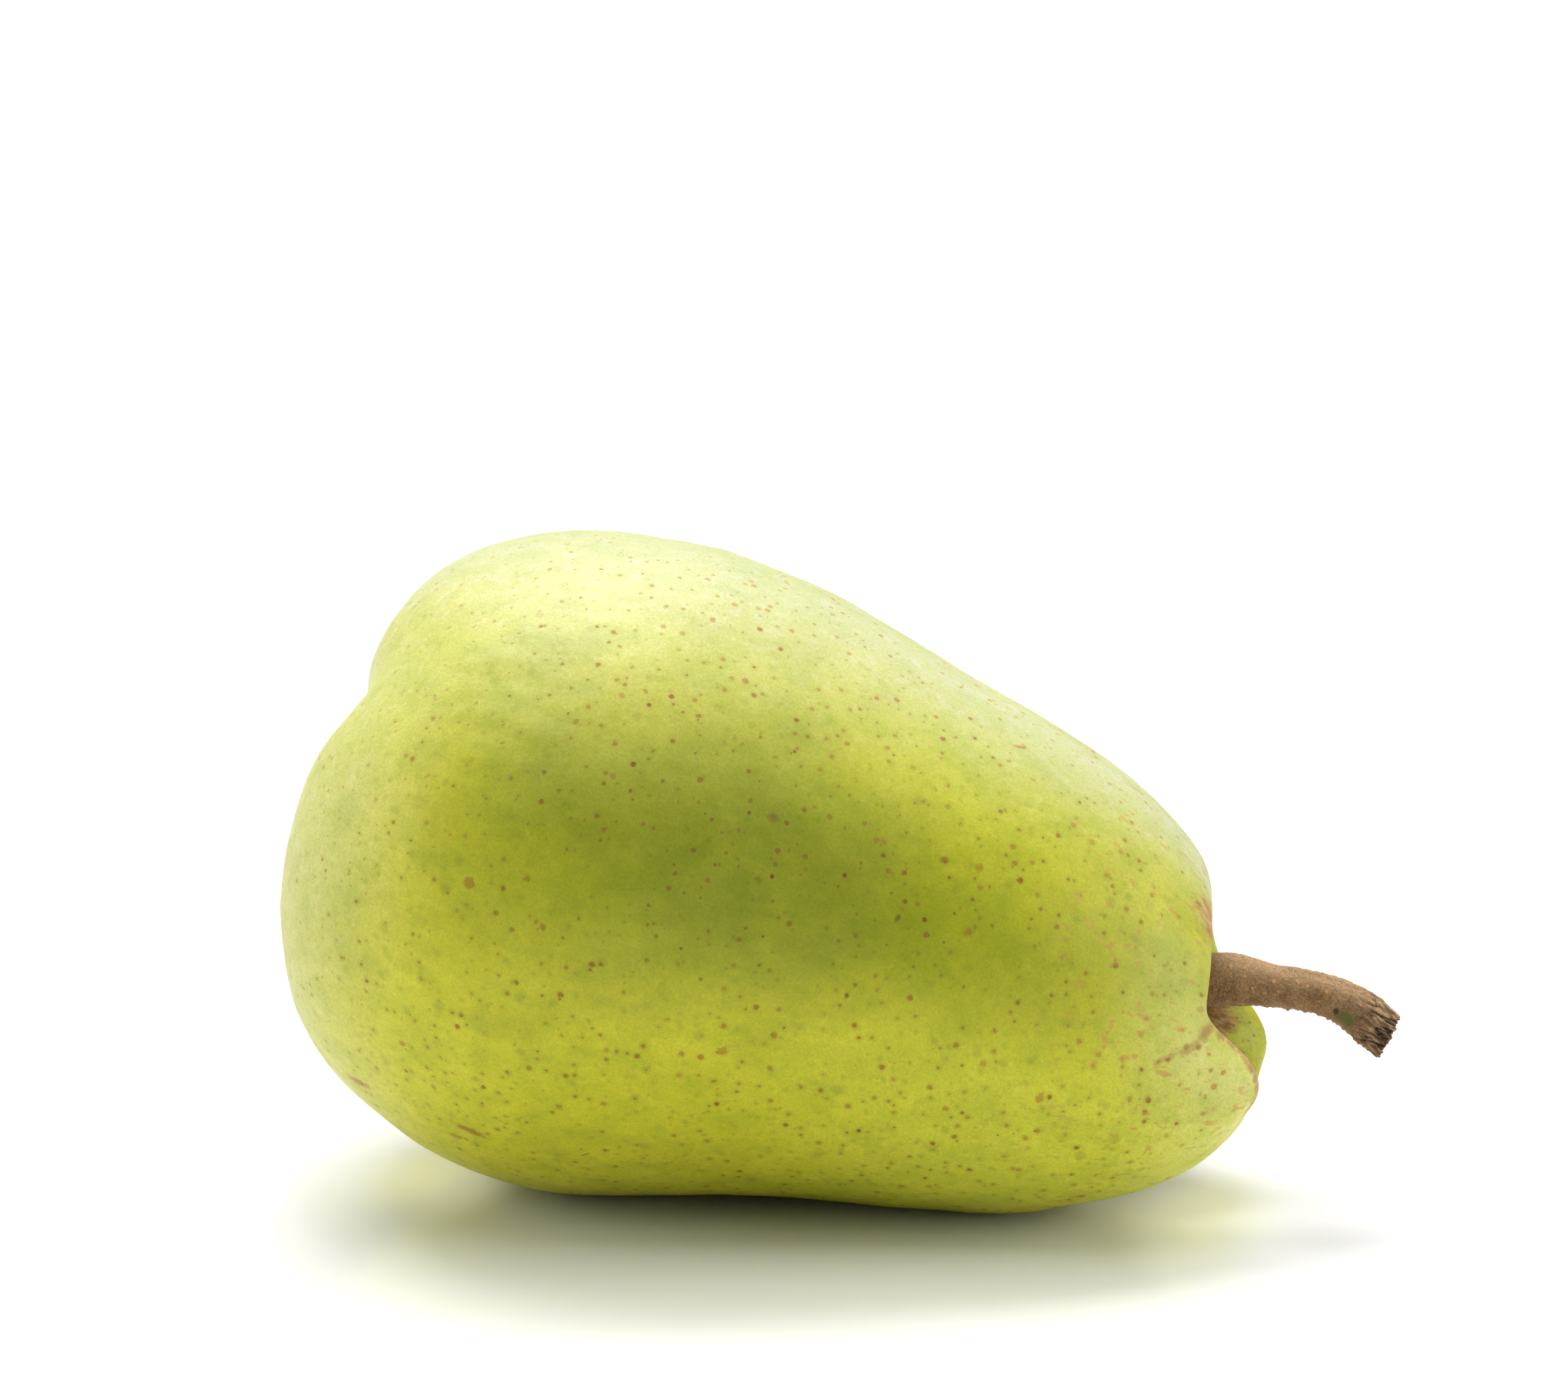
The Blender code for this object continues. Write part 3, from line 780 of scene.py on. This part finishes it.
def mark_place(direction, height, turn):
    """(point of the skin, rotation that lays X along a mark there) in upright millimetres.

    Points 0.2 mm up and down and 0.5 degrees to each side give the skin's own directions.
    """
    outline = spline(OUTLINE, 40)
    flank = outline[outline[:, 1].argmax():outline[:, 1].argmin() + 1][::-1]

    def point(angle, level):
        radius = np.interp(level, flank[:, 1], flank[:, 0])
        return Vector(shape_points(radius, np.float64(angle), np.float64(level)).tolist())

    middle = point(direction, height)
    along = (point(direction, height + 0.2) - point(direction, height - 0.2)).normalized()
    around = (point(direction + 0.5, height) - point(direction - 0.5, height)).normalized()
    lean = math.radians(turn)
    length = (along * math.cos(lean) + around * math.sin(lean)).normalized()
    out = along.cross(around).normalized()
    across = out.cross(length).normalized()
    return middle, Matrix((length, across, out)).transposed().to_euler()


def marks(tree, place, ragged, table):
    """Strongest of a table's marks at a place, 0 to 1, with a ragged edge."""
    strongest = 0.0
    for direction, height, length, width, turn, strength in table:
        middle, rotation = mark_place(direction, height, turn)
        away = tree.within(place, middle, rotation, (length, width, MARK_DEPTH))
        mark = tree.ramp(tree.math("ADD", away, ragged), *MARK_EDGE, 0.0, strength)
        strongest = tree.math("MAXIMUM", mark, strongest)
    return strongest


def dot_layer(tree, dots, wobble, layer):
    """(dots of uneven size, their soft halo, a random number of each); wobble eats into their edges."""
    spacing, smallest, largest, soft = layer
    gap, random_a, random_b = tree.cells(dots, spacing)
    share = tree.math("MULTIPLY", random_a, random_a)
    size = tree.math("MULTIPLY_ADD", share, largest - smallest, smallest)
    edge = tree.math("ADD", gap, wobble)
    dot = tree.ramp(edge, tree.math("ADD", size, soft), tree.math("SUBTRACT", size, soft))
    halo = tree.ramp(gap, tree.math("ADD", size, HALO), size)
    return dot, halo, random_b


def skin_ground(tree, upright, patchy, plain):
    """Ground colour of the skin: yellowish green with random tone, clouded and mottled; greener and darker
    where shade is painted, brighter on the lower neck where light is painted, paler and greyer where
    highlight and sheen are painted.
    """
    broad = tree.ramp(tree.noise(upright, 24.0, 2.0), 0.3, 0.7, 0.0, 0.35)
    cloudy = tree.noise(tree.scaled(upright, (1.0, 1.0, 0.6)), 3.0, 4.0, 0.6)
    mottle = tree.noise(upright, 1.4, 3.0, 0.65)
    speck = tree.noise(upright, 0.24, 2.0, 0.7)
    # green: painted shade (greener, darker skin) from the skin's areas, with broad random tone added
    green = tree.math("ADD", tree.attribute("green"), broad, clamp=True)
    painted_neck_light = tree.math("MULTIPLY", tree.attribute("painted_neck_light"), 0.6)
    thick = tree.math("MULTIPLY_ADD", plain, 0.5, 0.5)
    cloud = tree.math("MULTIPLY", tree.ramp(cloudy, 0.42, 0.66), thick)

    colour = tree.mix(green, srgb(198, 195, 30), srgb(135, 142, 17))
    colour = tree.mix(tree.ramp(patchy, 0.48, 0.75, 0.0, 0.4), colour, srgb(160, 164, 18))
    # painted light: a brighter, more yellowish lower neck
    colour = tree.mix(painted_neck_light, colour, srgb(214, 216, 62))
    # painted highlight and sheen: paler, greyer skin
    colour = tree.mix(tree.attribute("painted_highlight"), colour, srgb(190, 192, 142))
    colour = tree.mix(cloud, colour, (0.86, 0.91, 0.8, 1.0), "MULTIPLY")
    colour = tree.mix(tree.ramp(mottle, 0.45, 0.75), colour, (1.1, 1.08, 1.5, 1.0), "MULTIPLY")
    return tree.mix(tree.ramp(speck, 0.38, 0.62), colour, (0.86, 0.88, 0.8, 1.0), "MULTIPLY")


def green_spots(tree, colour, dots, wobble, plain):
    """Adds soft green spots under the skin."""
    spacing, smallest, largest = GREEN_SPOTS
    gap, random, _ = tree.cells(tree.scaled(dots, (1.0, 1.0, 1.0), (31.0, 7.0, 3.0)), spacing)
    size = tree.math("MULTIPLY_ADD", random, largest - smallest, smallest)
    blurred = tree.math("ADD", gap, tree.math("MULTIPLY", wobble, 1.5))
    spot = tree.ramp(blurred, size, tree.math("MULTIPLY", size, 0.2))
    spot = tree.math("MULTIPLY", spot, tree.math("MULTIPLY", plain, 0.35))
    return tree.mix(spot, colour, srgb(122, 134, 20))


def brown_dots(tree, colour, dots, wobble, plain):
    """(colour with three layers of brown dots and their green halos, the main layer)."""
    painted_highlight = tree.attribute("painted_highlight")
    fine = tree.attribute("fine")
    eaten = tree.math("MULTIPLY_ADD", fine, 0.08, wobble)
    dot, halo, random = dot_layer(tree, dots, eaten, DOTS)
    small, _, _ = dot_layer(tree, tree.scaled(dots, (1.0, 1.0, 1.0), (11.0, 23.0, 5.0)), wobble, SMALL_DOTS)
    small = tree.math("MULTIPLY", small, tree.math("MULTIPLY_ADD", fine, 0.45, 0.5))
    rare = tree.scaled(dots, (1.0, 1.0, 1.0), (3.0, 41.0, 17.0))
    large, _, _ = dot_layer(tree, rare, tree.math("MULTIPLY", wobble, 2.4), LARGE_DOTS)
    large = tree.math("MULTIPLY", large, plain)
    halo = tree.math("MULTIPLY", tree.math("MAXIMUM", halo, large), tree.math("MULTIPLY", plain, 0.25))
    colour = tree.mix(halo, colour, srgb(136, 142, 24))

    # the browns multiply the skin's colour, so skin under the painted highlight needs a warmer one
    on_painted_highlight = (0.85, 0.46, 0.24, 1.0)
    brown = tree.mix(painted_highlight, tree.mix(random, (0.95, 0.43, 0.62, 1.0), (0.72, 0.3, 0.42, 1.0)), on_painted_highlight)
    strength = tree.math("MULTIPLY_ADD", random, 0.35, 0.5)
    colour = tree.mix(tree.math("MULTIPLY", dot, strength), colour, brown, "MULTIPLY")
    little = tree.mix(painted_highlight, (0.76, 0.34, 0.4, 1.0), on_painted_highlight)
    colour = tree.mix(tree.math("MULTIPLY", small, 0.65), colour, little, "MULTIPLY")
    colour = tree.mix(tree.math("MULTIPLY", large, 0.7), colour, (0.8, 0.42, 0.5, 1.0), "MULTIPLY")
    pit = tree.ramp(tree.math("MULTIPLY", dot, random), 0.82, 0.98)
    colour = tree.mix(tree.math("MULTIPLY", pit, 0.5), colour, (0.65, 0.5, 0.5, 1.0), "MULTIPLY")
    return colour, dot


def corky_skin(tree, colour, dots):
    """(colour with russet, its streaks over the stem end and painted shade in the stem cavity and the fold,
    how corky, its ragged noise).
    """
    ragged = tree.noise(tree.scaled(dots, (1.0, 1.0, 0.8), (3.0, 9.0, 4.0)), 1.1, 6.0, 0.72)
    streaks = tree.noise(tree.scaled(dots, (1.0, 1.0, 0.35), (8.0, 2.0, 6.0)), 0.75, 2.0, 0.5)
    streaky = tree.math("MULTIPLY", tree.attribute("cap"), tree.ramp(streaks, 0.6, 0.7, 0.0, 0.6))
    colour = tree.mix(streaky, colour, srgb(184, 132, 62))
    rust = tree.ramp(tree.math("ADD", tree.attribute("russet"), ragged), 0.78, 1.3, 0.0, 0.95)
    cork = tree.mix(tree.ramp(ragged, 0.35, 0.65), srgb(186, 150, 104), srgb(150, 112, 66))
    colour = tree.mix(rust, colour, cork)
    # painted shade: the stem cavity, the far lobe's inner wall and the fold are darkened towards
    # olive-brown, with a ragged edge
    stain = tree.ramp(tree.math("ADD", tree.attribute("stained"), ragged), 0.55, 1.3, 0.0, 0.95)
    return tree.mix(stain, colour, srgb(158, 138, 78), "MULTIPLY"), rust, ragged


def skin_material():
    """Waxy yellowish-green skin with brown dots, soft green spots, scars and russet, with painted shade,
    painted light and a painted highlight in its colour.
    """
    tree = Tree("pear_skin")
    upright = tree.attribute("upright", "Vector")
    dots = tree.attribute("dots", "Vector")
    # plain: skin away from the painted highlight and sheen
    plain = tree.math("SUBTRACT", 1.0, tree.attribute("painted_highlight"))
    patchy = tree.noise(upright, 5.0, 3.0, 0.6)
    wobble = tree.math("MULTIPLY_ADD", tree.noise(upright, 0.22, 3.0, 0.65), 0.28, -0.14)
    torn = tree.math("MULTIPLY_ADD", tree.noise(upright, 0.6, 5.0, 0.75), 1.8, -0.9)

    colour = skin_ground(tree, upright, patchy, plain)
    colour = green_spots(tree, colour, dots, wobble, plain)
    colour, dot = brown_dots(tree, colour, dots, wobble, plain)
    scars = marks(tree, upright, torn, MARKS)
    colour = tree.mix(scars, colour, (0.74, 0.41, 0.58, 1.0), "MULTIPLY")
    colour = tree.mix(marks(tree, upright, 0.0, SCRATCHES), colour, (0.28, 0.15, 0.4, 1.0), "MULTIPLY")
    colour, rust, ragged = corky_skin(tree, colour, dots)
    tree.put(colour, tree.shader.inputs["Base Color"])

    dull = tree.math("MAXIMUM", rust, tree.math("MULTIPLY", dot, 0.6))
    dull = tree.math("MAXIMUM", dull, tree.attribute("stained"))
    sheen = tree.math("MULTIPLY_ADD", tree.ramp(patchy, 0.3, 0.7), 0.06, 0.45)
    tree.put(tree.math("MULTIPLY_ADD", dull, 0.4, sheen), tree.shader.inputs["Roughness"])
    pores = tree.noise(upright, 0.45, 3.0, 0.6)
    height = tree.math("MULTIPLY_ADD", dot, 0.5, tree.math("MULTIPLY", pores, 0.5))
    height = tree.math("MULTIPLY_ADD", rust, tree.math("MULTIPLY", ragged, 1.2), height)
    height = tree.math("MULTIPLY_ADD", scars, 0.8, height)
    tree.put(tree.bump(height, 0.00006, 0.8), tree.shader.inputs["Normal"])
    tree.constants({
        "Subsurface Weight": 0.12, "Subsurface Radius": (1.0, 0.8, 0.15), "Subsurface Scale": 0.0025,
        "IOR": 1.45, "Specular IOR Level": 0.38})
    return tree.material


def bark_material():
    """Grey-brown bark with tan lenticels and flakes, cracks at the old end, a green patch and painted light
    that makes its top paler.
    """
    tree = Tree("pear_bark")
    bark = tree.attribute("bark", "Vector")
    age = tree.attribute("age")

    grain = tree.noise(bark, 0.15, 3.0, 0.65)
    blotch = tree.noise(bark, 0.5, 3.0, 0.6)
    cloud = tree.noise(bark, 2.4, 3.0, 0.6)
    fibre = tree.noise(tree.scaled(bark, (1.0, 1.0, 0.22)), 0.3, 4.0, 0.65)
    colour = tree.mix(tree.ramp(cloud, 0.3, 0.7), srgb(108, 80, 48), srgb(150, 118, 78))
    # painted light: the stem's top is made paler, as if lit from above
    colour = tree.mix(tree.math("MULTIPLY", tree.attribute("topside"), 0.75), colour, srgb(164, 133, 94))
    colour = tree.mix(tree.ramp(blotch, 0.54, 0.7, 0.0, 0.6), colour, srgb(190, 142, 88))
    colour = tree.mix(tree.ramp(grain, 0.5, 0.7, 0.0, 0.6), colour, srgb(196, 160, 110))
    colour = tree.mix(tree.ramp(grain, 0.5, 0.3, 0.0, 0.65), colour, srgb(76, 54, 34))

    flakes = tree.math("MULTIPLY", tree.attribute("flaky"), tree.ramp(blotch, 0.4, 0.55))
    aged = tree.math("MULTIPLY", age, tree.ramp(fibre, 0.46, 0.66, 0.0, 0.75))
    colour = tree.mix(tree.math("MAXIMUM", flakes, aged), colour, srgb(190, 148, 98))
    dark_age = tree.math("MULTIPLY", age, tree.ramp(fibre, 0.6, 0.4, 0.0, 0.85))
    colour = tree.mix(dark_age, colour, srgb(72, 58, 42))
    for name, low, high, most, tint in (
            ("lenticel", 0.25, 0.6, 0.85, srgb(204, 144, 84)), ("green", 0.15, 0.6, 0.85, srgb(94, 98, 44)),
            ("scar", 0.2, 0.7, 0.9, srgb(50, 38, 30)), ("crack", 0.2, 0.75, 0.9, srgb(38, 30, 26))):
        colour = tree.mix(tree.ramp(tree.attribute(name), low, high, 0.0, most), colour, tint)
    wood = tree.mix(tree.ramp(blotch, 0.42, 0.58), srgb(60, 46, 36), srgb(196, 152, 104))
    colour = tree.mix(tree.attribute("cut"), colour, wood)
    tree.put(colour, tree.shader.inputs["Base Color"])
    tree.constants({"Roughness": 0.72, "Specular IOR Level": 0.35})
    height = tree.math("MULTIPLY_ADD", grain, 0.35, tree.math("MULTIPLY", blotch, 0.5))
    height = tree.math("MULTIPLY_ADD", fibre, age, height)
    tree.put(tree.bump(height, 0.00015, 0.85), tree.shader.inputs["Normal"])
    return tree.material


def dried_material():
    """Dark, leathery dried flower with paler flecks and darker tips."""
    tree = Tree("pear_dried_flower")
    place = tree.nodes.new("ShaderNodeTexCoord").outputs["Object"]
    along = tree.attribute("along")
    grain = tree.noise(place, 0.0004, 4.0, 0.65)
    cloud = tree.noise(place, 0.0018, 2.0)
    colour = tree.mix(tree.ramp(cloud, 0.35, 0.65), srgb(62, 44, 30), srgb(96, 70, 44))
    colour = tree.mix(tree.ramp(grain, 0.45, 0.7, 0.0, 0.7), colour, srgb(150, 116, 78))
    colour = tree.mix(tree.ramp(along, 0.7, 1.0, 0.0, 0.6), colour, srgb(42, 30, 24))
    tree.put(colour, tree.shader.inputs["Base Color"])
    tree.constants({"Roughness": 0.82})
    tree.put(tree.bump(grain, 0.00012, 0.8), tree.shader.inputs["Normal"])
    return tree.material


# ================================================================ stage

def build_stage():
    """A glossy white floor that glows away from the fruit and, a little, under the fruit's raised ends."""
    tree = Tree("floor_white")
    tree.constants({"Base Color": (0.88, 0.88, 0.88, 1.0), "Roughness": 0.18, "Specular IOR Level": 0.6})
    place = tree.nodes.new("ShaderNodeTexCoord").outputs["Object"]
    unturned = (0.0, 0.0, 0.0)
    away = tree.within(place, (0.0, 0.0, 0.0), unturned, (1.0, 1.0, 1.0))
    start, full, glow = FLOOR_GLOW
    under_ends = 0.0
    for middle, reach in END_GLOWS:
        near = tree.within(place, middle, unturned, reach)
        under_ends = tree.math("MAXIMUM", tree.ramp(near, 1.0, 0.0), under_ends)
    strength = tree.math("MULTIPLY_ADD", under_ends, END_GLOW, tree.ramp(away, start, full, 0.0, glow))
    tint = tree.mix(under_ends, (1.0, 1.0, 1.0, 1.0), END_GLOW_COLOUR)
    tree.put(strength, tree.shader.inputs["Emission Strength"])
    tree.put(tint, tree.shader.inputs["Emission Color"])
    bm = bmesh.new()
    bmesh.ops.create_grid(bm, x_segments=1, y_segments=1, size=FLOOR_REACH)
    mesh = bpy.data.meshes.new("floor")
    bm.to_mesh(mesh)
    bm.free()
    floor = bpy.data.objects.new("floor", mesh)
    bpy.context.scene.collection.objects.link(floor)
    mesh.materials.append(tree.material)


def area_light(name, location, size, power):
    """A softbox that faces the fruit."""
    light = bpy.data.lights.new(name, "AREA")
    light.shape = "RECTANGLE"
    light.size, light.size_y = size
    light.energy = power
    obj = bpy.data.objects.new(name, light)
    bpy.context.scene.collection.objects.link(obj)
    obj.location = location
    obj.rotation_euler = (Vector(FRUIT_MIDDLE) - Vector(location)).to_track_quat("-Z", "Y").to_euler()


def build_world():
    """White walls that hardly light the fruit: the softboxes do that."""
    world = bpy.data.worlds.new("tent")
    bpy.context.scene.world = world
    world.use_nodes = True
    nodes, links = world.node_tree.nodes, world.node_tree.links
    seen = nodes.new("ShaderNodeLightPath").outputs["Is Camera Ray"]
    strength = nodes.new("ShaderNodeMapRange")
    wall, light = TENT
    strength.inputs["To Min"].default_value = light
    strength.inputs["To Max"].default_value = wall
    links.new(seen, strength.inputs["Value"])
    links.new(strength.outputs[0], nodes["Background"].inputs["Strength"])
    nodes["Background"].inputs["Color"].default_value = (1.0, 1.0, 1.0, 1.0)


def build_camera():
    """The camera at the photograph's angle."""
    azimuth, elevation = math.radians(CAMERA_AZIMUTH), math.radians(CAMERA_ELEVATION)
    back = Vector((math.sin(azimuth) * math.cos(elevation), -math.cos(azimuth) * math.cos(elevation),
                   math.sin(elevation)))
    data = bpy.data.cameras.new("camera")
    data.lens = LENS
    data.sensor_width = SENSOR
    data.clip_start = 0.01
    data.clip_end = 20.0
    camera = bpy.data.objects.new("camera", data)
    bpy.context.scene.collection.objects.link(camera)
    camera.location = Vector(CAMERA_TARGET) + back * CAMERA_DISTANCE
    camera.rotation_euler = back.to_track_quat("Z", "Y").to_euler()
    bpy.context.scene.camera = camera


# ================================================================ the scene

build_camera()
dried = dried_material()
lay = build_fruit(skin_material())
build_stem(lay, bark_material())
build_sepals(lay, dried)
build_stamens(lay, dried)
build_stage()
build_world()
for softbox in SOFTBOXES:
    area_light(*softbox)
bpy.context.scene.view_settings.view_transform = "Standard"
